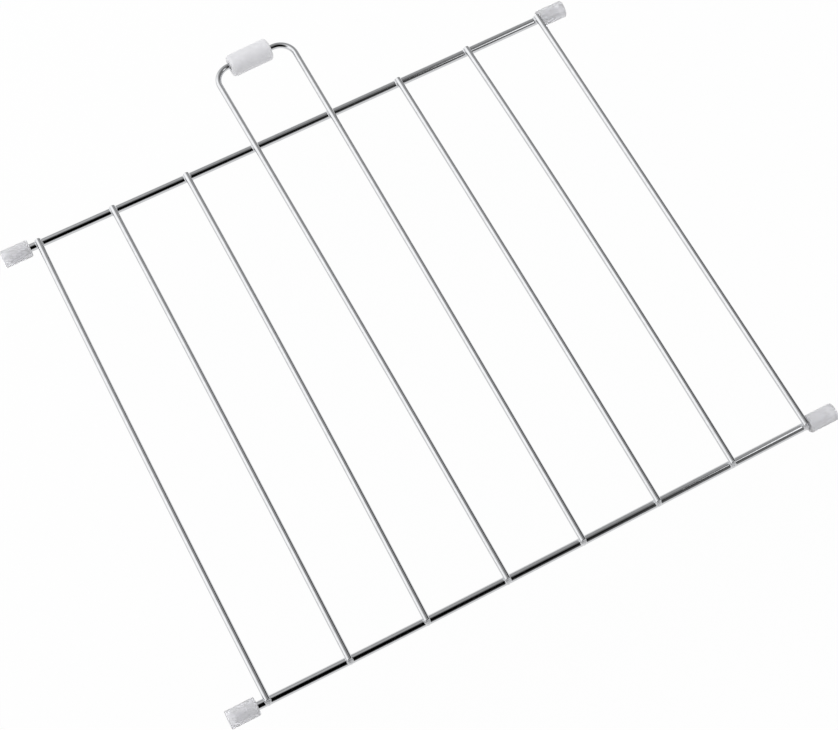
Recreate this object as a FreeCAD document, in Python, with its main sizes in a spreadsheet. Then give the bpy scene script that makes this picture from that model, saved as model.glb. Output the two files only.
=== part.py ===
import FreeCAD, Part
import math
import os
import Sketcher

# Drying rack of chrome-plated welded wire that folds down from a wall.
#
# Two round rails lie side by side. Six straight wires and one long U-shaped wire lie across
# them and are resistance-welded to both. The U's closed end reaches past the pivot rail as a
# loop that carries a thick plastic sleeve, which bears on the wall. A moulded cap closes each
# rail end: the two on the front rail are pushed on tight, the two on the pivot rail turn and
# are the bushes that wall brackets hold.
#
# Frame: millimetres, +Z up, X along the rails, +Y from the front rail to the pivot rail and
# on to the wall. The rack lies level on its four caps, with the origin at the middle of its
# base.

SIZES = (
    ("rail_diameter", 5.3, "round bar of both rails"),
    ("rail_spacing", 336.0, "between the axes of the two rails"),
    ("wire_diameter", 4.0, "round wire laid across the rails"),
    ("wire_pitch", 52.0, "between the axes of neighbouring wires at the front rail"),
    ("wires_each_side", 3, "straight wires on each side of the loop wire"),
    ("tip_overhang", 1.15, "wire tip past the axis of the rail that it ends on"),
    ("tip_bevel_length", 0.5, "broken edge of the wires' tips, measured along the wire"),
    ("tip_bevel_depth", 0.25, "the same, measured across the wire"),
    ("weld_set_down", 0.7, "how far welding sinks a wire into a rail"),
    ("flash_radius", 3.05, "weld metal squeezed out round a crossing, at its foot"),
    ("flash_top_radius", 1.8, "the same at its top, where it meets the wire's sides"),
    ("flash_level", 0.85, "foot of the weld metal above the rail's axis"),
    ("flash_height", 2.3, "weld metal from its foot to its top"),
    ("loop_reach", 62.3, "crossbar of the loop past the pivot rail, axis to axis"),
    ("loop_width", 55.0, "between the loop's sides, measured at the crossbar"),
    ("bend_radius", 11.5, "loop's corners, at the middle of the wire"),
    ("cap_diameter", 11.4, "outside of the four rail caps"),
    ("cap_length", 18.6, "rail cap from mouth to closed end"),
    ("cap_end_wall", 4.0, "closed end of a cap, past the end of its rail"),
    ("cap_mouth_chamfer", 0.8, "outer edge at a cap's mouth"),
    ("cap_end_chamfer", 0.4, "outer edge at a cap's closed end"),
    ("cap_lead_in", 0.3, "cone at the mouth of a cap's bore"),
    ("cap_gap_left", 4.3, "bare rail between the left cap and the first wire"),
    ("cap_gap_right", 0.2, "bare rail between the right cap and the last wire"),
    ("pivot_clearance", 0.05, "radial running clearance of the pivot caps"),
    ("pivot_end_play", 0.2, "room past each end of the pivot rail in its cap"),
    ("sleeve_diameter", 15.2, "outside of the buffer sleeve"),
    ("sleeve_round", 2.5, "outer rounding at the sleeve's ends, laid out as two bevels"),
    ("sleeve_bore_chamfer", 0.25, "broken edge at the ends of the sleeve's bore"),
    ("sleeve_clearance", 0.1, "radial running clearance of the sleeve"),
    ("sleeve_end_play", 0.65, "room between the sleeve and each corner of the loop"),
)

# Sizes and places that follow from the sheet, as expressions.
RAIL_RADIUS = "sizes.rail_diameter / 2"
WIRE_RADIUS = "sizes.wire_diameter / 2"
WIRE_RISE = f"({RAIL_RADIUS} + {WIRE_RADIUS} - sizes.weld_set_down)"
WIRE_LENGTH = "(sizes.rail_spacing + 2 * sizes.tip_overhang)"
LOOP_LENGTH = "(sizes.rail_spacing + sizes.tip_overhang + sizes.loop_reach)"
LOOP_SPLAY = f"((sizes.loop_width - sizes.wire_pitch) / 2 / {LOOP_LENGTH})"
TIP_BEVEL = ("sizes.tip_bevel_length", "sizes.tip_bevel_depth")
SLEEVE_LENGTH = "(sizes.loop_width - 2 * sizes.bend_radius - 2 * sizes.sleeve_end_play)"
CAP_RADIUS = "sizes.cap_diameter / 2"
SOCKET_DEPTH = "(sizes.cap_length - sizes.cap_end_wall)"
GRID_WIDTH = "(sizes.wire_pitch * (2 * sizes.wires_each_side + 1))"
RAIL_LENGTH = (f"({GRID_WIDTH} + sizes.wire_diameter + sizes.cap_gap_left"
               f" + sizes.cap_gap_right + 2 * {SOCKET_DEPTH})")
GRID_X = "(sizes.cap_gap_left - sizes.cap_gap_right) / 2"
CAP_X = f"({RAIL_LENGTH} / 2 - {SOCKET_DEPTH})"
FRONT_Y = (f"({CAP_RADIUS} - sizes.rail_spacing - sizes.loop_reach"
           " - sizes.sleeve_diameter / 2) / 2")
PIVOT_Y = f"({FRONT_Y} + sizes.rail_spacing)"
CROSSBAR_Y = f"({PIVOT_Y} + sizes.loop_reach)"
TIP_Y = f"({FRONT_Y} - sizes.tip_overhang)"
RAIL_Z = CAP_RADIUS
WIRE_Z = f"({RAIL_Z} + {WIRE_RISE})"

# Two bevels that touch a rounding at 30 and 60 degrees start and meet at these shares of its
# radius from the corner.
BEVEL_SHARES = (0.268, 0.732)

doc = FreeCAD.newDocument("DryingRack")


def make_sheet():
    """Write the driving sizes into a sheet, one named row each."""
    table = doc.addObject("Spreadsheet::Sheet", "sizes")
    for row, (name, value, note) in enumerate(SIZES, 1):
        table.set(f"A{row}", name)
        table.set(f"B{row}", str(value))
        table.setAlias(f"B{row}", name)
        table.set(f"C{row}", note)
    doc.recompute()
    return table


def number(expression):
    """Work out an expression of the sheet's sizes."""
    return float(sheet.evalExpression(expression))


def new_body(label, **place):
    """Make a sub-part's body and bind its place, given as x, y and z."""
    body = doc.addObject("PartDesign::Body", label)
    body.Label = label
    for axis, expression in place.items():
        body.setExpression(f"Placement.Base.{axis}", expression)
    return body


def new_sketch(body, name, plane):
    """Make a sketch on one of the body's own origin planes."""
    sketch = body.newObject("Sketcher::SketchObject", f"{body.Name}_{name}")
    origin = [item for item in body.Origin.OriginFeatures if item.Role == plane]
    sketch.AttachmentSupport = [(origin[0], "")]
    sketch.MapMode = "FlatFace"
    return sketch


def bind(sketch, name, kind, *geometry, to):
    """Add a dimension to a sketch and bind it to an expression."""
    index = sketch.addConstraint(Sketcher.Constraint(kind, *geometry, number(to)))
    sketch.renameConstraint(index, name)
    sketch.setExpression(f"Constraints.{name}", to)


def put_point(sketch, name, geometry, vertex, across, up):
    """Fix a sketch point at a distance across and up from the origin."""
    for kind, expression, axis in (("DistanceX", across, -2), ("DistanceY", up, -1)):
        if expression == "0":
            sketch.addConstraint(Sketcher.Constraint("PointOnObject", geometry, vertex, axis))
        else:
            bind(sketch, f"{name}_{kind}", kind, -1, 1, geometry, vertex, to=expression)


def add_circle(sketch, name, radius, across="0", up="0"):
    """Draw a circle with its radius and centre bound."""
    centre = FreeCAD.Vector(number(across), number(up), 0)
    axis = FreeCAD.Vector(0, 0, 1)
    index = sketch.addGeometry(Part.Circle(centre, axis, number(radius)))
    bind(sketch, f"{name}_radius", "Radius", index, to=radius)
    put_point(sketch, name, index, 3, across, up)


def add_outline(sketch, corners):
    """Draw a closed outline of straight lines with every corner bound."""
    points = [FreeCAD.Vector(number(across), number(up), 0) for across, up in corners]
    for index, point in enumerate(points):
        following = points[(index + 1) % len(points)]
        sketch.addGeometry(Part.LineSegment(point, following))
    for index, (across, up) in enumerate(corners):
        before = (index - 1) % len(corners)
        sketch.addConstraint(Sketcher.Constraint("Coincident", before, 2, index, 1))
        put_point(sketch, f"corner{index}", index, 1, across, up)


def pad_both_ways(body, sketch, length):
    """Pad a sketch evenly to both sides of its plane."""
    pad = body.newObject("PartDesign::Pad", f"{body.Name}_pad")
    pad.Profile = sketch
    pad.SideType = "Symmetric"
    pad.setExpression("Length", length)
    doc.recompute()
    return pad


def revolve(body, sketch):
    """Turn a sketch round its own horizontal axis."""
    turned = body.newObject("PartDesign::Revolution", f"{body.Name}_turned")
    turned.Profile = sketch
    turned.ReferenceAxis = (sketch, ["H_Axis"])
    turned.Angle = 360
    doc.recompute()
    return turned


def break_edges(body, name, base, chosen, size, across=None):
    """Chamfer the closed edges that the test picks, with a second size where it is uneven."""
    edges = [
        f"Edge{index}"
        for index, edge in enumerate(base.Shape.Edges, 1)
        if edge.isClosed() and chosen(edge)
    ]
    chamfer = body.newObject("PartDesign::Chamfer", f"{body.Name}_{name}")
    chamfer.Base = (base, edges)
    chamfer.setExpression("Size", size)
    if across:
        chamfer.ChamferType = "Two distances"
        chamfer.setExpression("Size2", across)
    doc.recompute()
    return chamfer


def edge_radius(edge):
    """Radius of a closed round edge, from its length."""
    return edge.Length / math.tau


def wire_places(loop_side):
    """Places of all wires along a rail: the straight ones, and the loop's sides."""
    count = int(number("sizes.wires_each_side"))
    right = [loop_side]
    right += [f"(sizes.wire_pitch * {step + 0.5})" for step in range(1, count + 1)]
    return [f"({GRID_X} - {place})" for place in reversed(right)] + [
        f"({GRID_X} + {place})" for place in right
    ]


def make_rail(label, y, loop_side):
    """Round bar with weld metal and a saddle under each wire."""
    body = new_body(label, y=y, z=RAIL_Z)
    section = new_sketch(body, "section", "YZ_Plane")
    add_circle(section, "bar", RAIL_RADIUS)
    pad_both_ways(body, section, RAIL_LENGTH)

    places = wire_places(loop_side)
    for index, place in enumerate(places, 1):
        flash = body.newObject("PartDesign::AdditiveCone", f"{label}_flash{index}")
        flash.setExpression("Radius1", "sizes.flash_radius")
        flash.setExpression("Radius2", "sizes.flash_top_radius")
        flash.setExpression("Height", "sizes.flash_height")
        flash.setExpression("Placement.Base.x", place)
        flash.setExpression("Placement.Base.z", "sizes.flash_level")
    doc.recompute()

    saddles = new_sketch(body, "saddles", "XZ_Plane")
    for index, place in enumerate(places, 1):
        add_circle(saddles, f"wire{index}", WIRE_RADIUS, across=place, up=WIRE_RISE)
    cut = body.newObject("PartDesign::Pocket", f"{label}_saddle_cut")
    cut.Profile = saddles
    cut.Type = "ThroughAll"
    cut.SideType = "Symmetric"
    doc.recompute()
    return body


def make_cross_wire(label, place):
    """Straight wire from rail to rail with broken edges at its tips."""
    middle = f"({FRONT_Y} + {PIVOT_Y}) / 2"
    body = new_body(label, x=place, y=middle, z=WIRE_Z)
    section = new_sketch(body, "section", "XZ_Plane")
    add_circle(section, "wire", WIRE_RADIUS)
    pad = pad_both_ways(body, section, WIRE_LENGTH)
    break_edges(body, "tips", pad, lambda edge: True, *TIP_BEVEL)
    return body


def draw_loop_path(path):
    """Draw the loop wire's middle line: two sides that part slightly, two corners, a crossbar."""
    start = number("sizes.wire_pitch / 2")
    corner = number("sizes.loop_width / 2")
    top = number(LOOP_LENGTH)
    bend = number("sizes.bend_radius")

    def at(x, y):
        return FreeCAD.Vector(x, y, 0)

    def corner_arc(side):
        slant = bend * 0.7071
        middle = at(side * (corner - bend + slant), top - bend + slant)
        ends = [at(side * corner, top - bend), at(side * (corner - bend), top)]
        return Part.Arc(ends[0], middle, ends[1])

    left, left_bend, crossbar, right_bend, right = range(5)
    path.addGeometry(Part.LineSegment(at(-start, 0), at(-corner, top - bend)))
    path.addGeometry(corner_arc(-1))
    path.addGeometry(Part.LineSegment(at(bend - corner, top), at(corner - bend, top)))
    path.addGeometry(corner_arc(1))
    path.addGeometry(Part.LineSegment(at(corner, top - bend), at(start, 0)))
    left_corner = path.addGeometry(Part.Point(at(-corner, top)), True)

    # The left arc runs clockwise as drawn and the right one too, but both are stored
    # counter-clockwise, so their start is the end nearer the crossbar on the left side.
    constrain = path.addConstraint
    constrain(Sketcher.Constraint("Tangent", left, 2, left_bend, 2))
    constrain(Sketcher.Constraint("Tangent", left_bend, 1, crossbar, 1))
    constrain(Sketcher.Constraint("Tangent", crossbar, 2, right_bend, 2))
    constrain(Sketcher.Constraint("Tangent", right_bend, 1, right, 1))
    constrain(Sketcher.Constraint("Equal", left_bend, right_bend))
    constrain(Sketcher.Constraint("PointOnObject", left, 1, -1))
    constrain(Sketcher.Constraint("Symmetric", left, 1, right, 2, -2))
    constrain(Sketcher.Constraint("Symmetric", left, 2, right, 1, -2))
    constrain(Sketcher.Constraint("PointOnObject", left_corner, 1, left))
    constrain(Sketcher.Constraint("PointOnObject", left_corner, 1, crossbar))
    bind(path, "spread", "DistanceX", left, 1, right, 2, to="sizes.wire_pitch")
    bind(path, "corner", "DistanceX", left_corner, 1, -1, 1, to="sizes.loop_width / 2")
    bind(path, "length", "DistanceY", -1, 1, crossbar, 1, to=LOOP_LENGTH)
    bind(path, "bend", "Radius", left_bend, to="sizes.bend_radius")


def make_loop_wire(label):
    """U-shaped wire: both sides cross the rails, and its closed end is the loop."""
    body = new_body(label, x=GRID_X, y=TIP_Y, z=WIRE_Z)
    path = new_sketch(body, "path", "XY_Plane")
    draw_loop_path(path)
    section = new_sketch(body, "section", "XZ_Plane")
    add_circle(section, "wire", WIRE_RADIUS, across="-sizes.wire_pitch / 2")
    doc.recompute()
    swept = body.newObject("PartDesign::AdditivePipe", f"{label}_swept")
    swept.Profile = section
    swept.Spine = path
    doc.recompute()

    def at_tip(edge):
        return edge.CenterOfMass.y < number(WIRE_RADIUS)

    break_edges(body, "tips", swept, at_tip, *TIP_BEVEL)
    return body


def make_cap(label, y, side, clearance, end_play):
    """Moulded cap over a rail end, turned from one outline; side is 1 at the right end."""
    body = new_body(label, y=y, z=RAIL_Z)
    body.Placement.Rotation = FreeCAD.Rotation(FreeCAD.Vector(0, 0, 1), 90 - 90 * side)
    body.setExpression("Placement.Base.x", f"{side} * {CAP_X}")
    bore = f"({RAIL_RADIUS} + {clearance})"
    floor = f"({SOCKET_DEPTH} + {end_play})"
    profile = new_sketch(body, "profile", "XY_Plane")
    add_outline(profile, (
        ("0", f"{bore} + sizes.cap_lead_in"),
        ("sizes.cap_lead_in", bore),
        (floor, bore),
        (floor, "0"),
        ("sizes.cap_length", "0"),
        ("sizes.cap_length", CAP_RADIUS),
        ("0", CAP_RADIUS),
    ))
    turned = revolve(body, profile)
    outside = number(CAP_RADIUS) - 0.001
    middle = number("sizes.cap_length") / 2

    def at_mouth(edge):
        return edge_radius(edge) > outside and edge.CenterOfMass.x < middle

    def at_end(edge):
        return edge_radius(edge) > outside and edge.CenterOfMass.x > middle

    mouth = break_edges(body, "mouth", turned, at_mouth, "sizes.cap_mouth_chamfer")
    break_edges(body, "end", mouth, at_end, "sizes.cap_end_chamfer")
    return body


def make_sleeve(label):
    """Thick round-ended sleeve that turns on the loop's crossbar."""
    body = new_body(label, x=GRID_X, y=CROSSBAR_Y, z=WIRE_Z)
    bore = f"({WIRE_RADIUS} + sizes.sleeve_clearance)"
    outside = "sizes.sleeve_diameter / 2"
    half = f"{SLEEVE_LENGTH} / 2"
    near, far = (f"{share} * sizes.sleeve_round" for share in BEVEL_SHARES)
    profile = new_sketch(body, "profile", "XY_Plane")
    add_outline(profile, (
        (f"-{half}", bore),
        (half, bore),
        (half, f"{outside} - {far}"),
        (f"{half} - {near}", f"{outside} - {near}"),
        (f"{half} - {far}", outside),
        (f"{far} - {half}", outside),
        (f"{near} - {half}", f"{outside} - {near}"),
        (f"-{half}", f"{outside} - {far}"),
    ))
    turned = revolve(body, profile)
    inner = number(bore) + 0.001
    break_edges(body, "bore", turned, lambda edge: edge_radius(edge) < inner,
                "sizes.sleeve_bore_chamfer")
    return body


def check(bodies):
    """Stop if any object failed or any sub-part is not one valid solid."""
    for item in doc.Objects:
        if "Invalid" in item.State or "Error" in item.State:
            raise RuntimeError(f"{item.Name} failed: {item.State}")
    for body in bodies:
        shape = body.Shape
        if shape.isNull() or not shape.isValid() or len(shape.Solids) != 1:
            raise RuntimeError(f"{body.Label} is not one valid solid")


def save(bodies):
    """Write each sub-part's shape to its own STEP file."""
    os.makedirs("parts", exist_ok=True)
    for body in bodies:
        body.Shape.exportStep(f"parts/{body.Label}.step")


def build():
    """Build every sub-part of the rack."""
    front_side = f"(sizes.wire_pitch / 2 + {LOOP_SPLAY} * sizes.tip_overhang)"
    pivot_side = f"({front_side} + {LOOP_SPLAY} * sizes.rail_spacing)"
    bodies = [
        make_rail("front_rail", FRONT_Y, front_side),
        make_rail("pivot_rail", PIVOT_Y, pivot_side),
        make_loop_wire("loop_wire"),
        make_sleeve("buffer_sleeve"),
        make_cap("front_cap_left", FRONT_Y, -1, "0", "0"),
        make_cap("front_cap_right", FRONT_Y, 1, "0", "0"),
        make_cap("pivot_cap_left", PIVOT_Y, -1, "sizes.pivot_clearance", "sizes.pivot_end_play"),
        make_cap("pivot_cap_right", PIVOT_Y, 1, "sizes.pivot_clearance", "sizes.pivot_end_play"),
    ]
    count = int(number("sizes.wires_each_side"))
    places = wire_places("0")
    straight = places[:count] + places[-count:]
    for index, place in enumerate(straight, 1):
        bodies.append(make_cross_wire(f"cross_wire_{index}", place))
    return bodies


sheet = make_sheet()
pieces = build()
doc.recompute()
check(pieces)
save(pieces)
for piece in pieces:
    box = piece.Shape.BoundBox
    print(f"{piece.Label:16} {piece.Shape.Volume:10.1f} mm3 "
          f"x {box.XMin:8.2f} {box.XMax:8.2f} y {box.YMin:8.2f} {box.YMax:8.2f} "
          f"z {box.ZMin:6.2f} {box.ZMax:6.2f}")
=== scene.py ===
import math

import bpy
from mathutils import Matrix, Vector


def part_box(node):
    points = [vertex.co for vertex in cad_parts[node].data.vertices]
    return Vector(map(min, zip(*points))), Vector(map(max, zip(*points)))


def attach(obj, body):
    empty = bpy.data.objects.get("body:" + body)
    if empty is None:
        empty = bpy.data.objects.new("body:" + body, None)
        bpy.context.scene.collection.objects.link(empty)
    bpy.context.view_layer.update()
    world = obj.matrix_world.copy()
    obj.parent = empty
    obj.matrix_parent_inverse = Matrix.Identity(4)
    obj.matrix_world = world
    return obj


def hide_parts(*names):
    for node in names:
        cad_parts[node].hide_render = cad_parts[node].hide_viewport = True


bl_info = {
    "name": "Fold-down wire drying rack",
    "version": (1, 0, 0),
    "blender": (4, 5, 0),
    "location": "3D View > Sidebar > Drying rack",
    "description": "Chrome wire, weld metal, rail caps and buffer sleeve of a wall rack",
    "category": "Add Mesh",
}

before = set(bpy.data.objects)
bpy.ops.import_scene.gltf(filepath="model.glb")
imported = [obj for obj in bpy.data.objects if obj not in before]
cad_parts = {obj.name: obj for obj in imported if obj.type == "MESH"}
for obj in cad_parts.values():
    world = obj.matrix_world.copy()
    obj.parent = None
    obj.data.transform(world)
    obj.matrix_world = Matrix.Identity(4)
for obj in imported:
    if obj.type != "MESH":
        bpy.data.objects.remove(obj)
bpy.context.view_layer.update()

MM = 0.001
# Places nearer than this are taken as the same, in metres.
SAME_PLACE = 1e-6
CROSS_WIRES = [f"cross_wire_{number}" for number in range(1, 7)]
RAILS = ("front_rail", "pivot_rail")
CAPS = ("front_cap_left", "front_cap_right", "pivot_cap_left", "pivot_cap_right")

# Steps along a rail, along a wire and round a corner of the loop, for reflections that run on.
BAR_STEPS = 24
WIRE_STEPS = 20
CORNER_STEPS = 20
# Faces round the moulded pieces.
CAP_SIDES = 64
SLEEVE_SIDES = 72

# How far each wire strays sideways from its straight line, in millimetres, because it was laid
# by hand before welding: at its front tip, halfway, and at its rear tip or its first corner.
LAY = {
    "cross_wire_1": (0.1, -0.6, 0.1),
    "cross_wire_2": (0.3, 0.6, 0.0),
    "cross_wire_3": (-1.2, 0.5, 0.2),
    "loop_left_side": (0.4, -0.15, -2.1),
    "loop_right_side": (-0.6, -0.3, -1.2),
    "cross_wire_4": (-0.7, -0.1, -1.0),
    "cross_wire_5": (-0.3, 1.0, -1.3),
    "cross_wire_6": (0.1, 0.7, 0.9),
}

# How the welding has bent each rail, in millimetres: how far its middle is drawn to the front,
# and the skew that draws its left half more than its right.
RAIL_BENDS = {"front_rail": (1.05, 0.6), "pivot_rail": (0.6, 0.0)}


# Colour


def linear(hex_colour):
    """Turn an sRGB hex colour into the linear values that Blender uses."""
    parts = [int(hex_colour[place:place + 2], 16) / 255 for place in (1, 3, 5)]
    return tuple(
        part / 12.92 if part <= 0.04045 else ((part + 0.055) / 1.055) ** 2.4
        for part in parts
    )


# Sizes read from the frame


def middle(box):
    """Middle of a box given as two corners."""
    return (box[0] + box[1]) / 2


def rail_axis(rail):
    """Point at the middle of a rail's axis, from the caps at its two ends."""
    family = rail.split("_")[0]
    left = middle(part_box(f"{family}_cap_left"))
    right = middle(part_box(f"{family}_cap_right"))
    return (left + right) / 2


def wire_radius():
    """Radius of the laid wires."""
    low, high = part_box("cross_wire_1")
    return (high.z - low.z) / 2


def rail_radius():
    """Radius of the rails, from their axis and lowest point."""
    return rail_axis("front_rail").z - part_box("front_rail")[0].z


def stray(name, share):
    """Sideways stray of a wire at a share of its length, on a parabola through its three values."""
    front, halfway, rear = LAY[name]
    return MM * (front * (1 - share) * (1 - 2 * share) + halfway * 4 * share * (1 - share)
                 + rear * share * (2 * share - 1))


def rail_bow(rail, x):
    """Offset of a rail in Y at a place along it: none at its ends, most near its middle."""
    bow, skew = RAIL_BENDS[rail]
    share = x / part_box(rail)[1].x
    return (skew * share - bow) * MM * (1 - share ** 2)


# Mesh tools


def add_started(name):
    """Name the piece that a primitive has just started."""
    piece = bpy.context.object
    piece.name = name
    piece.data.name = name
    return piece


def settle(piece):
    """Put the piece's place into its mesh, so that its object sits at the origin unturned."""
    bpy.ops.object.mode_set(mode="OBJECT")
    bpy.ops.object.select_all(action="DESELECT")
    piece.select_set(True)
    bpy.context.view_layer.objects.active = piece
    bpy.ops.object.transform_apply(location=True, rotation=True, scale=True)


def pick(piece, kind, test):
    """Select only the vertices, edges or faces whose middle passes the test, in edit mode."""
    bpy.ops.object.mode_set(mode="EDIT")
    bpy.ops.mesh.select_mode(type=kind)
    bpy.ops.mesh.select_all(action="DESELECT")
    bpy.ops.object.mode_set(mode="OBJECT")
    mesh = piece.data
    places = [vertex.co.copy() for vertex in mesh.vertices]
    if kind == "VERT":
        items, centres = mesh.vertices, places
    elif kind == "EDGE":
        items = mesh.edges
        centres = [(places[a] + places[b]) / 2 for a, b in (edge.vertices for edge in items)]
    else:
        items = mesh.polygons
        centres = [face.center.copy() for face in items]
    found = 0
    for item, centre in zip(items, centres):
        item.select = bool(test(centre))
        found += item.select
    if not found:
        raise RuntimeError(f"nothing to select on {piece.name}")
    bpy.ops.object.mode_set(mode="EDIT")


def finish_mesh(piece):
    """Merge doubles, point the faces outwards and shade the piece smooth across soft edges."""
    bpy.ops.object.mode_set(mode="EDIT")
    bpy.ops.mesh.select_all(action="SELECT")
    bpy.ops.mesh.remove_doubles(threshold=SAME_PLACE)
    bpy.ops.mesh.normals_make_consistent(inside=False)
    settle(piece)
    bpy.ops.object.shade_smooth_by_angle(angle=math.radians(40))
    # Long faces keep their own normals, so that roundings at their ends don't bend reflections.
    weights = piece.modifiers.new("long_faces_first", "WEIGHTED_NORMAL")
    weights.weight = 100  # the most that the modifier takes
    weights.keep_sharp = True
    bpy.ops.object.modifier_apply(modifier=weights.name)


def swing(piece, about, angle):
    """Turn the piece's mesh about a vertical line."""
    turn = Matrix.Rotation(angle, 4, "Z")
    piece.matrix_world = Matrix.Translation(about) @ turn @ Matrix.Translation(-about)
    settle(piece)


def extrude_by(offset):
    """Extrude the selection by an offset."""
    bpy.ops.mesh.extrude_region_move(TRANSFORM_OT_translate={"value": tuple(offset)})


def extrude_along(places):
    """Extrude the selection from the first place through the others."""
    for here, there in zip(places, places[1:]):
        extrude_by(there - here)


def close_tips(piece, radius, at_tip):
    """Close a wire's or rail's open ends with faces and round their edges by a radius."""
    pick(piece, "EDGE", at_tip)
    bpy.ops.mesh.edge_face_add()
    pick(piece, "EDGE", at_tip)
    bpy.ops.mesh.bevel(offset=radius, offset_type="OFFSET", segments=4, profile=0.5,
                       affect="EDGES")


# Materials


def new_material(name):
    """Start a node material with a Principled shader; return it with its tree and shader."""
    material = bpy.data.materials.new(name)
    material.use_nodes = True
    tree = material.node_tree
    return material, tree, tree.nodes["Principled BSDF"]


def add_node(tree, kind, settings=None, links=None, values=None):
    """Add a node with its settings, socket values and links from other sockets."""
    node = tree.nodes.new(kind)
    for key, value in (settings or {}).items():
        setattr(node, key, value)
    for socket, value in (values or {}).items():
        node.inputs[socket].default_value = value
    for socket, source in (links or {}).items():
        tree.links.new(source, node.inputs[socket])
    return node


def set_steps(ramp, steps):
    """Give a colour ramp its steps, as pairs of place and linear colour."""
    elements = ramp.color_ramp.elements
    while len(elements) > 1:
        elements.remove(elements[-1])
    elements[0].position, elements[0].color = steps[0][0], (*steps[0][1], 1)
    for place, colour in steps[1:]:
        elements.new(place).color = (*colour, 1)


def chrome_on_wire(name, finish, along):
    """Bright chrome electroplated on drawn low-carbon steel wire.

    Plating follows the drawn wire under it: a mirror whose edges of light waver a little, with
    faint lines along the wire and a few dull specks. Along is the axis that the wire follows,
    0 for X and 1 for Y.
    """
    material, tree, shader = new_material(name)
    shader.inputs["Metallic"].default_value = 1.0
    place = add_node(tree, "ShaderNodeTexCoord").outputs["Object"]
    stretch = [1.0, 1.0, 1.0]
    stretch[along] = 0.05
    lines_at = add_node(tree, "ShaderNodeMapping", links={"Vector": place},
                        values={"Scale": stretch}).outputs["Vector"]
    # Draw lines 0.25 mm apart, twenty times as long.
    lines = add_node(tree, "ShaderNodeTexNoise", links={"Vector": lines_at},
                     values={"Scale": 4000.0, "Detail": 2.0, "Roughness": 0.6})
    # Slow waviness of the drawn surface, about 4 mm from crest to crest.
    waves = add_node(tree, "ShaderNodeTexNoise", links={"Vector": place},
                     values={"Scale": 250.0, "Detail": 1.0})
    # Dull specks where the plating is thin, about 1.5 mm apart.
    specks = add_node(tree, "ShaderNodeTexNoise", links={"Vector": place},
                      values={"Scale": 650.0, "Detail": 3.0})
    dull = add_node(tree, "ShaderNodeMapRange", links={"Value": specks.outputs["Fac"]},
                    values={"From Min": 0.5, "From Max": 0.75,
                            "To Min": finish.chrome_roughness,
                            "To Max": finish.chrome_roughness + 0.16})
    tree.links.new(dull.outputs["Result"], shader.inputs["Roughness"])
    tone = add_node(tree, "ShaderNodeValToRGB", links={"Fac": waves.outputs["Fac"]})
    bright = Vector(finish.chrome_colour)
    set_steps(tone, [(0.35, bright * 0.94), (0.65, bright)])
    tree.links.new(tone.outputs["Color"], shader.inputs["Base Color"])
    coarse = add_node(tree, "ShaderNodeBump", links={"Height": waves.outputs["Fac"]},
                      values={"Strength": 0.25, "Distance": 0.02 * MM})
    fine = add_node(tree, "ShaderNodeBump",
                    links={"Height": lines.outputs["Fac"], "Normal": coarse.outputs["Normal"]},
                    values={"Strength": 0.12, "Distance": 0.01 * MM})
    tree.links.new(fine.outputs["Normal"], shader.inputs["Normal"])
    return material


def weld_with_painted_reflection(name, finish):
    """Chrome plating over unpolished weld flash.

    Grains of frozen spatter under the plating roughen it. Its grey is a painted reflection: paler
    than the chrome and partly matt, so that it shows a pale grey beside the mirror of the wire.
    """
    material, tree, shader = new_material(name)
    # Mostly not metallic, so that the even light gives it a matt pale grey as part of its painted
    # reflection.
    shader.inputs["Metallic"].default_value = 0.3
    place = add_node(tree, "ShaderNodeTexCoord").outputs["Object"]
    # Lumps 0.8 mm across, left by the metal as it squeezed out and froze.
    lumps = add_node(tree, "ShaderNodeTexNoise", links={"Vector": place},
                     values={"Scale": 1200.0, "Detail": 3.0, "Roughness": 0.55})
    rough = add_node(tree, "ShaderNodeMapRange", links={"Value": lumps.outputs["Fac"]},
                     values={"From Min": 0.4, "From Max": 0.7, "To Min": 0.38, "To Max": 0.6})
    tree.links.new(rough.outputs["Result"], shader.inputs["Roughness"])
    # Painted reflection: a grey 1.1 to 1.4 times the chrome's, paler on the lumps, stands in for the
    # light that the weld mirrors.
    tone = add_node(tree, "ShaderNodeValToRGB", links={"Fac": lumps.outputs["Fac"]})
    bright = Vector(finish.chrome_colour)
    set_steps(tone, [(0.38, bright * 1.1), (0.6, bright * 1.4)])
    tree.links.new(tone.outputs["Color"], shader.inputs["Base Color"])
    bump = add_node(tree, "ShaderNodeBump", links={"Height": lumps.outputs["Fac"]},
                    values={"Strength": 0.35, "Distance": 0.08 * MM})
    tree.links.new(bump.outputs["Normal"], shader.inputs["Normal"])
    return material


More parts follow.
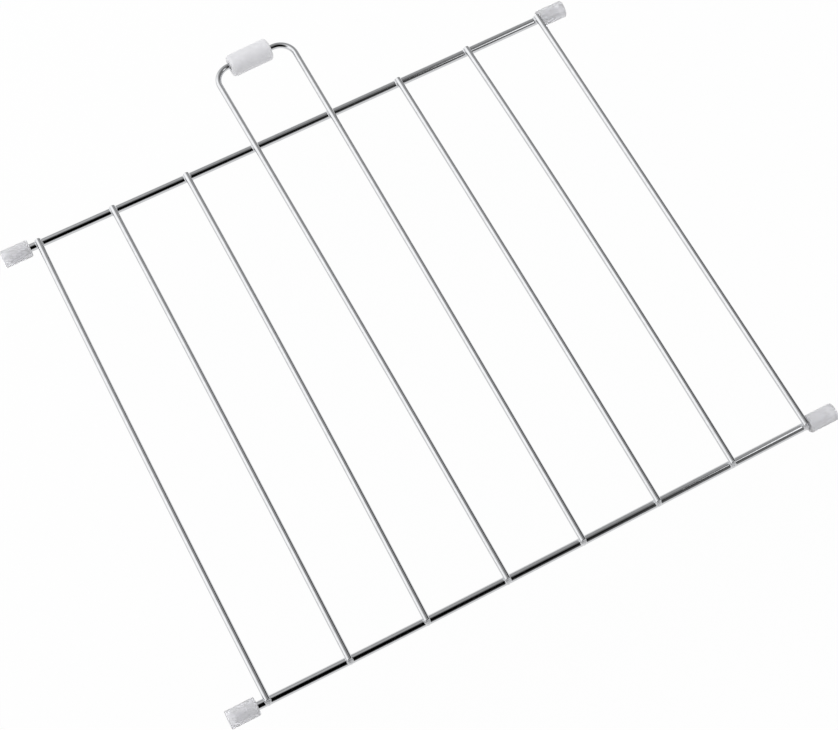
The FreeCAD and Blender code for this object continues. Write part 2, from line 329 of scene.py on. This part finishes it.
def milky_polyethylene(name, colour, clearness, depth):
    """Natural low-density polyethylene, moulded: cloudy, waxy satin, lit from within.

    The eye sees a pale milky body with a darker core where a rail stands in it. Clearness is the
    share of light that passes straight on, depth how far the rest spreads.
    """
    material, tree, shader = new_material(name)
    shader.inputs["IOR"].default_value = 1.51
    shader.inputs["Transmission Weight"].default_value = clearness
    shader.inputs["Subsurface Weight"].default_value = 1.0
    shader.inputs["Subsurface Radius"].default_value = (1.0, 1.0, 1.0)
    shader.inputs["Subsurface Scale"].default_value = depth
    place = add_node(tree, "ShaderNodeTexCoord").outputs["Object"]
    # Flow marks of the melt, 5 mm wide, and the moulded skin's fine grain, 0.3 mm.
    flow = add_node(tree, "ShaderNodeTexNoise", links={"Vector": place},
                    values={"Scale": 200.0, "Detail": 2.0})
    grain = add_node(tree, "ShaderNodeTexNoise", links={"Vector": place},
                     values={"Scale": 3300.0, "Detail": 2.0})
    base = Vector(colour)
    tone = add_node(tree, "ShaderNodeValToRGB", links={"Fac": flow.outputs["Fac"]})
    set_steps(tone, [(0.35, base * 0.97), (0.65, base)])
    tree.links.new(tone.outputs["Color"], shader.inputs["Base Color"])
    rough = add_node(tree, "ShaderNodeMapRange", links={"Value": grain.outputs["Fac"]},
                     values={"To Min": 0.34, "To Max": 0.5})
    tree.links.new(rough.outputs["Result"], shader.inputs["Roughness"])
    bump = add_node(tree, "ShaderNodeBump", links={"Height": grain.outputs["Fac"]},
                    values={"Strength": 0.15, "Distance": 0.02 * MM})
    tree.links.new(bump.outputs["Normal"], shader.inputs["Normal"])
    return material


def coat(piece, material):
    """Give a piece its one material."""
    piece.data.materials.clear()
    piece.data.materials.append(material)


def shared(name, make, *details):
    """Make a material once and find it again after that."""
    return bpy.data.materials.get(name) or make(name, *details)


# Settings a user would change


class RackSizes(bpy.types.PropertyGroup):
    """Sizes of the details that the frame leaves open."""

    sides: bpy.props.IntProperty(
        name="Sides", description="Faces round a wire or rail", default=48, min=16, max=96)
    bar_end_round: bpy.props.FloatProperty(
        name="Rail end rounding", description="Rounding of a sawn rail end",
        default=0.4 * MM, unit="LENGTH")
    tip_round: bpy.props.FloatProperty(
        name="Tip rounding", description="Rounding of a sheared wire tip",
        default=0.45 * MM, unit="LENGTH")
    bend_radius: bpy.props.FloatProperty(
        name="Loop corners", description="Loop's corner radius at the middle of the wire",
        default=11.5 * MM, unit="LENGTH")
    loop_splay: bpy.props.FloatProperty(
        name="Loop splay", description="How far each side of the loop leans outwards",
        default=1.5 * MM, unit="LENGTH")
    weld_length: bpy.props.FloatProperty(
        name="Weld length", description="Weld metal along the rail, from the weld's middle",
        default=3.4 * MM, unit="LENGTH")
    weld_width: bpy.props.FloatProperty(
        name="Weld width", description="Weld metal along the wire, from the weld's middle",
        default=3.1 * MM, unit="LENGTH")
    tip_weld_length: bpy.props.FloatProperty(
        name="Tip weld length", description="As the weld length, where wires end on the front rail",
        default=2.8 * MM, unit="LENGTH")
    weld_level: bpy.props.FloatProperty(
        name="Weld level", description="Weld's middle above the rail's axis",
        default=0.9 * MM, unit="LENGTH")
    weld_height: bpy.props.FloatProperty(
        name="Weld height", description="Weld metal from its middle to its top",
        default=2.6 * MM, unit="LENGTH")
    weld_root: bpy.props.FloatProperty(
        name="Weld root", description="How far the weld metal is kept below the rail's axis",
        default=0.6 * MM, unit="LENGTH")
    lump_spacing: bpy.props.FloatProperty(
        name="Lump spacing", description="Size of the lumps in the weld metal",
        default=1.6 * MM, unit="LENGTH")
    lump_height: bpy.props.FloatProperty(
        name="Lump height", description="Height of the lumps in the weld metal",
        default=0.5 * MM, unit="LENGTH")
    mouth_round: bpy.props.FloatProperty(
        name="Cap mouth rounding", description="Outer rounding at a cap's mouth",
        default=1.0 * MM, unit="LENGTH")
    end_round: bpy.props.FloatProperty(
        name="Cap end rounding", description="Outer rounding at a cap's closed end",
        default=0.6 * MM, unit="LENGTH")
    socket_depth: bpy.props.FloatProperty(
        name="Cap socket", description="Depth of the hole that takes the rail",
        default=14.6 * MM, unit="LENGTH")
    socket_play: bpy.props.FloatProperty(
        name="Socket play", description="Gap between a rail and the socket of its cap",
        default=0.04 * MM, unit="LENGTH")
    socket_chamfer: bpy.props.FloatProperty(
        name="Socket chamfer", description="Chamfer at the mouth of a cap's socket",
        default=0.3 * MM, unit="LENGTH")
    sleeve_round: bpy.props.FloatProperty(
        name="Sleeve rounding", description="Outer rounding at the sleeve's ends",
        default=2.2 * MM, unit="LENGTH")
    bore_round: bpy.props.FloatProperty(
        name="Bore rounding", description="Rounding at the ends of the sleeve's bore",
        default=0.4 * MM, unit="LENGTH")
    sleeve_shrink: bpy.props.FloatProperty(
        name="Sleeve shrinkage", description="What the sleeve lacks of its nominal length",
        default=1.0 * MM, unit="LENGTH")
    sleeve_play: bpy.props.FloatProperty(
        name="Sleeve play", description="Gap between the sleeve's bore and the wire",
        default=0.8 * MM, unit="LENGTH")
    sleeve_slide: bpy.props.FloatProperty(
        name="Sleeve slide", description="How far the sleeve has slid to the left on its wire",
        default=2.6 * MM, unit="LENGTH")
    sleeve_cock: bpy.props.FloatProperty(
        name="Sleeve cock", description="Turn of the loose sleeve across its wire",
        default=math.radians(1.6), unit="ROTATION")


class RackFinishes(bpy.types.PropertyGroup):
    """Colours, gloss and clearness of the rack's materials."""

    chrome_colour: bpy.props.FloatVectorProperty(
        name="Chrome", description="Reflection colour of the chrome plating",
        subtype="COLOR", default=linear("#CDCED0"), min=0, max=1)
    chrome_roughness: bpy.props.FloatProperty(
        name="Chrome roughness", description="Roughness of the polished plating",
        default=0.06, min=0, max=1, subtype="FACTOR")
    cap_colour: bpy.props.FloatVectorProperty(
        name="Caps", description="Colour of the natural polyethylene of the caps",
        subtype="COLOR", default=linear("#F6F6FC"), min=0, max=1)
    cap_clearness: bpy.props.FloatProperty(
        name="Cap clearness", description="Share of light that passes straight through the caps",
        default=0.55, min=0, max=1, subtype="FACTOR")
    cap_depth: bpy.props.FloatProperty(
        name="Cap depth", description="How far light spreads inside the caps",
        default=4 * MM, unit="LENGTH")
    sleeve_colour: bpy.props.FloatVectorProperty(
        name="Sleeve", description="Colour of the buffer sleeve",
        subtype="COLOR", default=linear("#EDEDF0"), min=0, max=1)
    sleeve_clearness: bpy.props.FloatProperty(
        name="Sleeve clearness", description="Share of light that passes straight through the sleeve",
        default=0.1, min=0, max=1, subtype="FACTOR")
    sleeve_depth: bpy.props.FloatProperty(
        name="Sleeve depth", description="How far light spreads inside the sleeve",
        default=3 * MM, unit="LENGTH")


class RackStage(bpy.types.PropertyGroup):
    """Camera and floor."""

    camera_place: bpy.props.FloatVectorProperty(
        name="Camera place", description="Camera position",
        subtype="TRANSLATION", unit="LENGTH", default=(-0.21872, -0.48209, 1.05981))
    camera_turn: bpy.props.FloatVectorProperty(
        name="Camera turn", description="Camera rotation",
        subtype="EULER", unit="ROTATION",
        default=tuple(math.radians(angle) for angle in (24.433, 0.529, -27.711)))
    camera_lens: bpy.props.FloatProperty(
        name="Lens", description="Focal length in millimetres on a 36 mm wide sensor",
        default=80.18, min=1)
    floor_size: bpy.props.FloatProperty(
        name="Floor size", description="Side of the square floor",
        default=8.0, unit="LENGTH")
    floor_drop: bpy.props.FloatProperty(
        name="Floor drop", description="Depth of the floor, clear of the loop when folded up",
        default=80 * MM, min=65 * MM, unit="LENGTH")
    floor_colour: bpy.props.FloatVectorProperty(
        name="Floor", description="Colour of the plain floor",
        subtype="COLOR", default=linear("#F8F8F8"), min=0, max=1)
    floor_white: bpy.props.FloatProperty(
        name="Floor white", description="Share of plain white in what the eye sees of the floor",
        default=0.92, min=0, max=1, subtype="FACTOR")


def sizes():
    """Sizes as they are set in this scene."""
    return bpy.context.scene.rack_sizes


def finishes():
    """Finishes as they are set in this scene."""
    return bpy.context.scene.rack_finishes


# Pieces


def add_ring(name, centre, radius, turn):
    """Start a piece as an open ring of edges."""
    bpy.ops.object.select_all(action="DESELECT")
    bpy.ops.mesh.primitive_circle_add(vertices=sizes().sides, radius=radius,
                                      fill_type="NOTHING", location=centre, rotation=turn)
    piece = add_started(name)
    settle(piece)
    bpy.ops.object.mode_set(mode="EDIT")
    bpy.ops.mesh.select_mode(type="EDGE")
    bpy.ops.mesh.select_all(action="SELECT")
    return piece


class MESH_OT_rack_rails(bpy.types.Operator):
    """Add the two round rails in place of their plain bars"""

    bl_idname = "mesh.rack_rails"
    bl_label = "Rails"

    def execute(self, context):
        material = shared("chrome_plated_bar", chrome_on_wire, finishes(), 0)
        radius = rail_radius()
        for rail in RAILS:
            low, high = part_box(rail)
            axis = rail_axis(rail)
            spacing = (high.x - low.x) / BAR_STEPS
            along = [low.x + spacing * step for step in range(BAR_STEPS + 1)]
            places = [Vector((x, axis.y + rail_bow(rail, x), axis.z)) for x in along]
            piece = add_ring(f"{rail}_bar", places[0], radius, (0, math.pi / 2, 0))
            extrude_along(places)

            def at_end(spot):
                return min(abs(spot.x - low.x), abs(spot.x - high.x)) < SAME_PLACE

            close_tips(piece, sizes().bar_end_round, at_end)
            finish_mesh(piece)
            coat(piece, material)
            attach(piece, "rack")
            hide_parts(rail)
        return {"FINISHED"}


def wire_places(lay_name, start, end):
    """Places along a wire's axis between two points of its straight line."""
    places = []
    for step in range(WIRE_STEPS + 1):
        share = step / WIRE_STEPS
        places.append(start.lerp(end, share) + Vector((stray(lay_name, share), 0, 0)))
    return places


class MESH_OT_rack_cross_wires(bpy.types.Operator):
    """Add the six straight wires, each with the slight stray of a hand-laid wire"""

    bl_idname = "mesh.rack_cross_wires"
    bl_label = "Cross wires"

    def execute(self, context):
        material = shared("chrome_plated_wire", chrome_on_wire, finishes(), 1)
        radius = wire_radius()
        for node in CROSS_WIRES:
            low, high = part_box(node)
            axis = middle((low, high))
            front = low.y + rail_bow("front_rail", axis.x)
            rear = high.y + rail_bow("pivot_rail", axis.x)
            places = wire_places(node, Vector((axis.x, front, axis.z)),
                                 Vector((axis.x, rear, axis.z)))
            piece = add_ring(f"{node}_drawn", places[0], radius, (math.pi / 2, 0, 0))
            extrude_along(places)

            def at_tip(spot):
                return min(abs(spot.y - front), abs(spot.y - rear)) < SAME_PLACE

            close_tips(piece, sizes().tip_round, at_tip)
            finish_mesh(piece)
            coat(piece, material)
            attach(piece, "rack")
            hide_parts(node)
        return {"FINISHED"}


class MESH_OT_rack_loop_wire(bpy.types.Operator):
    """Add the U-shaped wire, extruded along its sides and spun round its corners"""

    bl_idname = "mesh.rack_loop_wire"
    bl_label = "Loop wire"

    def execute(self, context):
        material = shared("chrome_plated_wire", chrome_on_wire, finishes(), 1)
        radius = wire_radius()
        bend = sizes().bend_radius
        low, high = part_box("loop_wire")
        middle_x = (low.x + high.x) / 2
        level = (low.z + high.z) / 2
        tip, top = low.y + rail_bow("front_rail", middle_x), high.y - radius
        lean = math.atan2(sizes().loop_splay, top - tip)
        # Each corner's centre and start and each tip, by their distance from the loop's middle.
        corner_x, corner_y = (high.x - low.x) / 2 - radius - bend, top - bend
        start_x, start_y = corner_x + bend * math.cos(lean), corner_y - bend * math.sin(lean)
        tip_x = start_x - (start_y - tip) * math.tan(lean)
        left, right = (wire_places(f"loop_{name}_side",
                                   Vector((middle_x + side * tip_x, tip, level)),
                                   Vector((middle_x + side * start_x, start_y, level)))
                       for name, side in (("left", -1), ("right", 1)))
        piece = add_ring("loop_wire_bent", left[0], radius, (math.pi / 2, 0, lean))
        extrude_along(left)
        inwards = bend * math.cos(lean)
        for centre_x in (left[-1].x + inwards, right[-1].x - inwards):
            bpy.ops.mesh.spin(steps=CORNER_STEPS, angle=math.pi / 2 + lean, dupli=False,
                              axis=(0, 0, 1), center=(centre_x, corner_y, level))
            if centre_x < middle_x:
                extrude_by((right[-1].x - left[-1].x - 2 * inwards, 0, 0))
        extrude_along(right[::-1])

        def at_tip(spot):
            # The tips lean with the sides, so their edges lie up to 8 micrometres off.
            return spot.y < tip + 0.05 * MM

        close_tips(piece, sizes().tip_round, at_tip)
        finish_mesh(piece)
        coat(piece, material)
        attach(piece, "rack")
        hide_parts("loop_wire")
        return {"FINISHED"}


def crossings(rail):
    """Middles of the eight welds along a rail, left to right, at the height of its axis."""
    axis = rail_axis(rail)
    places = []
    for node in CROSS_WIRES:
        low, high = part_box(node)
        share = (axis.y - low.y) / (high.y - low.y)
        places.append(middle((low, high)).x + stray(node, share))
    low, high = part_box("loop_wire")
    top = high.y - wire_radius()
    corner_y = top - sizes().bend_radius
    half = (high.x - low.x) / 2 - wire_radius()
    half -= (corner_y - axis.y) * sizes().loop_splay / (top - low.y)
    share = (axis.y - low.y) / (corner_y - low.y)
    for name, side in (("left", -1), ("right", 1)):
        places.append((low.x + high.x) / 2 + side * half + stray(f"loop_{name}_side", share))
    return [Vector((x, axis.y + rail_bow(rail, x), axis.z)) for x in sorted(places)]


class MESH_OT_rack_welds(bpy.types.Operator):
    """Add the weld metal squeezed out round each crossing of wire and rail"""

    bl_idname = "mesh.rack_welds"
    bl_label = "Welds"

    def execute(self, context):
        material = shared("weld_painted_reflection", weld_with_painted_reflection, finishes())
        size = sizes()
        lumps = bpy.data.textures.new("weld_lumps", "CLOUDS")
        lumps.noise_scale = size.lump_spacing
        lumps.noise_depth = 1
        for rail in RAILS:
            # The wires end on the front rail, so its welds are shorter than the pivot rail's.
            length = size.tip_weld_length if rail == "front_rail" else size.weld_length
            beads = []
            for number, place in enumerate(crossings(rail), 1):
                bpy.ops.object.select_all(action="DESELECT")
                bpy.ops.mesh.primitive_uv_sphere_add(
                    segments=40, ring_count=24, radius=1.0,
                    location=place + Vector((0, 0, size.weld_level)),
                    scale=(length, size.weld_width, size.weld_height))
                bead = add_started(f"{rail}_bead_{number}")
                settle(bead)
                # The buried underside is cut away.
                bpy.ops.object.mode_set(mode="EDIT")
                bpy.ops.mesh.select_all(action="SELECT")
                bpy.ops.mesh.bisect(plane_co=place - Vector((0, 0, size.weld_root)),
                                    plane_no=(0, 0, 1), clear_inner=True, use_fill=True)
                bpy.ops.object.mode_set(mode="OBJECT")
                shape = bead.modifiers.new("lumps", "DISPLACE")
                shape.texture = lumps
                shape.texture_coords = "GLOBAL"
                shape.strength = size.lump_height
                # Above the noise's mean of a half, so the lumps sink in more than they stand out.
                shape.mid_level = 0.6
                bpy.ops.object.modifier_apply(modifier=shape.name)
                beads.append(bead)
            bpy.ops.object.select_all(action="DESELECT")
            for bead in beads:
                bead.select_set(True)
            bpy.context.view_layer.objects.active = beads[0]
            bpy.ops.object.join()
            piece = add_started(f"{rail}_welds")
            finish_mesh(piece)
            coat(piece, material)
            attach(piece, "rack")
        return {"FINISHED"}


def aside(spot, centre):
    """Distance of a place from the line along X through a centre."""
    return math.hypot(spot.y - centre.y, spot.z - centre.z)


def add_drum(name, centre, radius, length, sides):
    """Start a moulded piece as a solid drum along X."""
    bpy.ops.object.select_all(action="DESELECT")
    bpy.ops.mesh.primitive_cylinder_add(vertices=sides, radius=radius, depth=length,
                                        location=centre, rotation=(0, math.pi / 2, 0))
    piece = add_started(name)
    settle(piece)
    return piece


class MESH_OT_rack_caps(bpy.types.Operator):
    """Add the four moulded rail caps, each with its blind socket"""

    bl_idname = "mesh.rack_caps"
    bl_label = "Rail caps"

    def execute(self, context):
        finish = finishes()
        size = sizes()
        material = shared("ldpe_moulded_cap", milky_polyethylene, finish.cap_colour,
                          finish.cap_clearness, finish.cap_depth)
        bore = rail_radius() + size.socket_play
        chamfer = size.socket_chamfer
        for node in CAPS:
            low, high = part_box(node)
            centre = middle((low, high))
            radius = min(high.y - low.y, high.z - low.z) / 2
            length = high.x - low.x
            side = 1 if centre.x > 0 else -1
            mouth = centre.x - side * length / 2
            end = centre.x + side * length / 2
            piece = add_drum(f"{node}_moulded", centre, radius, length, CAP_SIDES)
            pick(piece, "FACE", lambda spot: abs(spot.x - mouth) < SAME_PLACE)
            bpy.ops.mesh.inset(thickness=radius - bore - chamfer, depth=0)
            bpy.ops.mesh.inset(thickness=chamfer, depth=-chamfer)
            extrude_by((side * (size.socket_depth - chamfer), 0, 0))

            def outer(spot, place):
                return abs(spot.x - place) < SAME_PLACE and aside(spot, centre) > radius * 0.99

            pick(piece, "EDGE", lambda spot: outer(spot, mouth))
            bpy.ops.mesh.bevel(offset=size.mouth_round, segments=6, affect="EDGES")
            pick(piece, "EDGE", lambda spot: outer(spot, end))
            bpy.ops.mesh.bevel(offset=size.end_round, segments=4, affect="EDGES")
            finish_mesh(piece)
            coat(piece, material)
            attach(piece, "rack" if node.startswith("front") else "wall_bushes")
            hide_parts(node)
        return {"FINISHED"}


class MESH_OT_rack_sleeve(bpy.types.Operator):
    """Add the thick round-ended sleeve on the loop's crossbar"""

    bl_idname = "mesh.rack_sleeve"
    bl_label = "Buffer sleeve"

    def execute(self, context):
        finish = finishes()
        size = sizes()
        material = shared("ldpe_moulded_sleeve", milky_polyethylene, finish.sleeve_colour,
                          finish.sleeve_clearness, finish.sleeve_depth)
        low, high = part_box("buffer_sleeve")
        centre = middle((low, high))
        radius = (high.z - low.z) / 2
        length = high.x - low.x - size.sleeve_shrink
        bore = wire_radius() + size.sleeve_play
        piece = add_drum("buffer_sleeve_moulded", centre, radius, length, SLEEVE_SIDES)

        def at_end(spot):
            return abs(abs(spot.x - centre.x) - length / 2) < SAME_PLACE

        pick(piece, "FACE", at_end)
        bpy.ops.mesh.inset(thickness=radius - bore, depth=0)
        bpy.ops.mesh.bridge_edge_loops()

        pick(piece, "EDGE", lambda spot: at_end(spot) and aside(spot, centre) > radius * 0.98)
        bpy.ops.mesh.bevel(offset=size.sleeve_round, segments=10, affect="EDGES")
        pick(piece, "EDGE", lambda spot: at_end(spot) and aside(spot, centre) < bore * 1.02)
        bpy.ops.mesh.bevel(offset=size.bore_round, segments=3, affect="EDGES")
        swing(piece, centre, size.sleeve_cock)
        piece.location = (-size.sleeve_slide, -size.sleeve_play / 2, 0)
        finish_mesh(piece)
        coat(piece, material)
        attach(piece, "sleeve")
        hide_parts("buffer_sleeve")
        return {"FINISHED"}


# Stage

# The studio that the chrome mirrors. Its levels multiply the grey of 0.8 that a Background node
# starts with, so 1.25 is white.
# The back wall is what no patch covers, and the even level is the light on matt pieces.
BACK_WALL = 0.58
EVEN_LEVEL = 0.85
# Patches of light and dark, each with the direction of its middle (azimuth from +X and
# elevation), its half width and softness in degrees, and its level. Later ones lie on top.
PATCHES = (
    ("dark side wall", -41, -9, 75, 6, 0.06),
    ("dim front wall", 260, 45, 70, 8, 0.32),
    ("dark foot of the front wall", 250, 15, 38, 8, 0.16),
    ("soft box", 154, 31, 44, 38, 1.9),
)

# A black card behind the camera. It is solid to its inner radius and fades out to its outer one.
CARD_CENTRE = Vector((-0.34, -0.62, 0.80))
CARD_INNER = 0.62
CARD_OUTER = 1.27

# Lamps that face the rack: place and side in metres, power in watts.
SOFT_LIGHT = ((-0.8, 0.9, 1.6), 1.6, 13.0)
BRIGHT_CARD = ((0.403, -0.214, 0.462), 0.25, 0.28)


def studio_world():
    """A plain white world to the camera, and a soft studio to the object."""
    world = bpy.data.worlds.new("studio")
    bpy.context.scene.world = world
    world.use_nodes = True
    tree = world.node_tree
    tree.nodes.clear()
    place = add_node(tree, "ShaderNodeTexCoord").outputs["Generated"]
    value = None
    for label, azimuth, elevation, half, soft, level in PATCHES:
        around, up = math.radians(azimuth), math.radians(elevation)
        toward = (math.cos(around) * math.cos(up), math.sin(around) * math.cos(up), math.sin(up))
        near = add_node(tree, "ShaderNodeVectorMath", {"operation": "DOT_PRODUCT"},
                        links={0: place}, values={1: toward})
        inside = math.cos(math.radians(half - soft / 2))
        outside = math.cos(math.radians(half + soft / 2))
        share = add_node(tree, "ShaderNodeMapRange", {"interpolation_type": "SMOOTHSTEP"},
                         links={"Value": near.outputs["Value"]},
                         values={"From Min": outside, "From Max": inside})
        mix = add_node(tree, "ShaderNodeMix", {"data_type": "FLOAT", "label": label},
                       links={"Factor": share.outputs["Result"]}, values={"B": level})
        if value:
            tree.links.new(value, mix.inputs["A"])
        else:
            mix.inputs["A"].default_value = BACK_WALL
        value = mix.outputs["Result"]
    rays = add_node(tree, "ShaderNodeLightPath")
    studio = add_node(tree, "ShaderNodeBackground", links={"Strength": value})
    even = add_node(tree, "ShaderNodeBackground", values={"Strength": EVEN_LEVEL})
    plain = add_node(tree, "ShaderNodeBackground",
                     values={"Color": (1, 1, 1, 1), "Strength": 1.0})
    soft = add_node(tree, "ShaderNodeMixShader",
                    links={0: rays.outputs["Is Diffuse Ray"], 1: studio.outputs[0],
                           2: even.outputs[0]})
    straight = add_node(tree, "ShaderNodeMath", {"operation": "MAXIMUM"},
                        links={0: rays.outputs["Is Camera Ray"],
                               1: rays.outputs["Is Transmission Ray"]})
    seen = add_node(tree, "ShaderNodeMixShader",
                    links={0: straight.outputs[0], 1: soft.outputs[0], 2: plain.outputs[0]})
    add_node(tree, "ShaderNodeOutputWorld", links={"Surface": seen.outputs[0]})


def black_card_material():
    """Matt black card whose edge fades from solid to clear."""
    material, tree, shader = new_material("black_card")
    place = add_node(tree, "ShaderNodeTexCoord").outputs["Object"]
    away = add_node(tree, "ShaderNodeVectorMath", {"operation": "DISTANCE"},
                    links={0: place}, values={1: CARD_CENTRE})
    share = add_node(tree, "ShaderNodeMapRange", {"interpolation_type": "SMOOTHSTEP"},
                     links={"Value": away.outputs["Value"]},
                     values={"From Min": CARD_INNER, "From Max": CARD_OUTER})
    black = add_node(tree, "ShaderNodeEmission", values={"Strength": 0.0})
    clear = add_node(tree, "ShaderNodeBsdfTransparent")
    mixed = add_node(tree, "ShaderNodeMixShader",
                     links={0: share.outputs["Result"], 1: black.outputs[0], 2: clear.outputs[0]})
    tree.links.new(mixed.outputs[0], tree.nodes["Material Output"].inputs["Surface"])
    tree.nodes.remove(shader)
    return material


def only_mirrored(item):
    """Leave a card to be seen in mirrors alone."""
    item.visible_camera = False
    item.visible_diffuse = False
    item.visible_transmission = False
    item.visible_volume_scatter = False
    item.visible_shadow = False


def add_black_card():
    """Stand a large black card behind the camera, which the chrome mirrors as its black line."""
    turn = CARD_CENTRE.to_track_quat("Z", "Y").to_euler()
    bpy.ops.mesh.primitive_circle_add(vertices=64, radius=CARD_OUTER, fill_type="NGON",
                                      location=CARD_CENTRE, rotation=turn)
    card = add_started("black_card")
    settle(card)
    coat(card, black_card_material())
    only_mirrored(card)


def add_lamp(name, place, size, power):
    """Add a square area lamp that faces the middle of the rack."""
    light = bpy.data.lights.new(name, "AREA")
    light.size = size
    light.energy = power
    lamp = bpy.data.objects.new(name, light)
    bpy.context.scene.collection.objects.link(lamp)
    lamp.location = place
    lamp.rotation_euler = (-lamp.location).to_track_quat("-Z", "Y").to_euler()
    return lamp


def floor_material(stage):
    """Matt white painted board, with light of its own for the white the eye sees there."""
    material, tree, shader = new_material("painted_board")
    shader.inputs["Base Color"].default_value = (*stage.floor_colour, 1)
    shader.inputs["Roughness"].default_value = 0.9
    shader.inputs["Specular IOR Level"].default_value = 0.0
    rays = add_node(tree, "ShaderNodeLightPath")
    straight = add_node(tree, "ShaderNodeMath", {"operation": "MAXIMUM"},
                        links={0: rays.outputs["Is Camera Ray"],
                               1: rays.outputs["Is Transmission Ray"]})
    mirrored = add_node(tree, "ShaderNodeMath", {"operation": "MAXIMUM"},
                        links={0: straight.outputs[0], 1: rays.outputs["Is Glossy Ray"]})
    share = add_node(tree, "ShaderNodeMath", {"operation": "MULTIPLY"},
                     links={0: mirrored.outputs[0]}, values={1: stage.floor_white})
    white = add_node(tree, "ShaderNodeEmission", values={"Color": (1, 1, 1, 1), "Strength": 1.0})
    mixed = add_node(tree, "ShaderNodeMixShader",
                     links={0: share.outputs[0], 1: shader.outputs[0], 2: white.outputs[0]})
    tree.links.new(mixed.outputs[0], tree.nodes["Material Output"].inputs["Surface"])
    return material


class SCENE_OT_rack_stage(bpy.types.Operator):
    """Set the floor, the studio light and the camera"""

    bl_idname = "scene.rack_stage"
    bl_label = "Stage"

    def execute(self, context):
        scene = context.scene
        stage = scene.rack_stage
        bpy.ops.object.select_all(action="DESELECT")
        bpy.ops.mesh.primitive_plane_add(size=stage.floor_size,
                                         location=(0, 0, -stage.floor_drop))
        floor = add_started("floor")
        settle(floor)
        coat(floor, floor_material(stage))
        studio_world()
        add_black_card()
        soft_light = add_lamp("soft_light", *SOFT_LIGHT)
        soft_light.visible_glossy = False
        bright_card = add_lamp("bright_card", *BRIGHT_CARD)
        bright_card.visible_camera = False
        camera_data = bpy.data.cameras.new("camera")
        camera_data.sensor_width = 36
        camera_data.lens = stage.camera_lens
        camera_data.clip_start = 0.01
        camera = bpy.data.objects.new("camera", camera_data)
        scene.collection.objects.link(camera)
        camera.location = stage.camera_place
        camera.rotation_euler = stage.camera_turn
        scene.camera = camera
        scene.view_settings.view_transform = "Standard"
        return {"FINISHED"}


class VIEW3D_PT_rack(bpy.types.Panel):
    """Buttons for the rack's pieces"""

    bl_idname = "VIEW3D_PT_rack"
    bl_label = "Drying rack"
    bl_space_type = "VIEW_3D"
    bl_region_type = "UI"
    bl_category = "Drying rack"

    def draw(self, context):
        for operator in OPERATORS:
            self.layout.operator(operator.bl_idname)
        for group in ("rack_sizes", "rack_finishes", "rack_stage"):
            settings = getattr(context.scene, group)
            for key in settings.__annotations__:
                self.layout.prop(settings, key)


OPERATORS = (
    SCENE_OT_rack_stage,
    MESH_OT_rack_rails,
    MESH_OT_rack_welds,
    MESH_OT_rack_cross_wires,
    MESH_OT_rack_loop_wire,
    MESH_OT_rack_caps,
    MESH_OT_rack_sleeve,
)
CLASSES = (RackSizes, RackFinishes, RackStage, *OPERATORS, VIEW3D_PT_rack)


def register():
    for item in CLASSES:
        bpy.utils.register_class(item)
    bpy.types.Scene.rack_sizes = bpy.props.PointerProperty(type=RackSizes)
    bpy.types.Scene.rack_finishes = bpy.props.PointerProperty(type=RackFinishes)
    bpy.types.Scene.rack_stage = bpy.props.PointerProperty(type=RackStage)


def unregister():
    for group in ("rack_sizes", "rack_finishes", "rack_stage"):
        delattr(bpy.types.Scene, group)
    for item in reversed(CLASSES):
        bpy.utils.unregister_class(item)


def main():
    register()
    bpy.ops.scene.rack_stage()
    bpy.ops.mesh.rack_rails()
    bpy.ops.mesh.rack_welds()
    bpy.ops.mesh.rack_cross_wires()
    bpy.ops.mesh.rack_loop_wire()
    bpy.ops.mesh.rack_caps()
    bpy.ops.mesh.rack_sleeve()


if __name__ == "__main__":
    main()
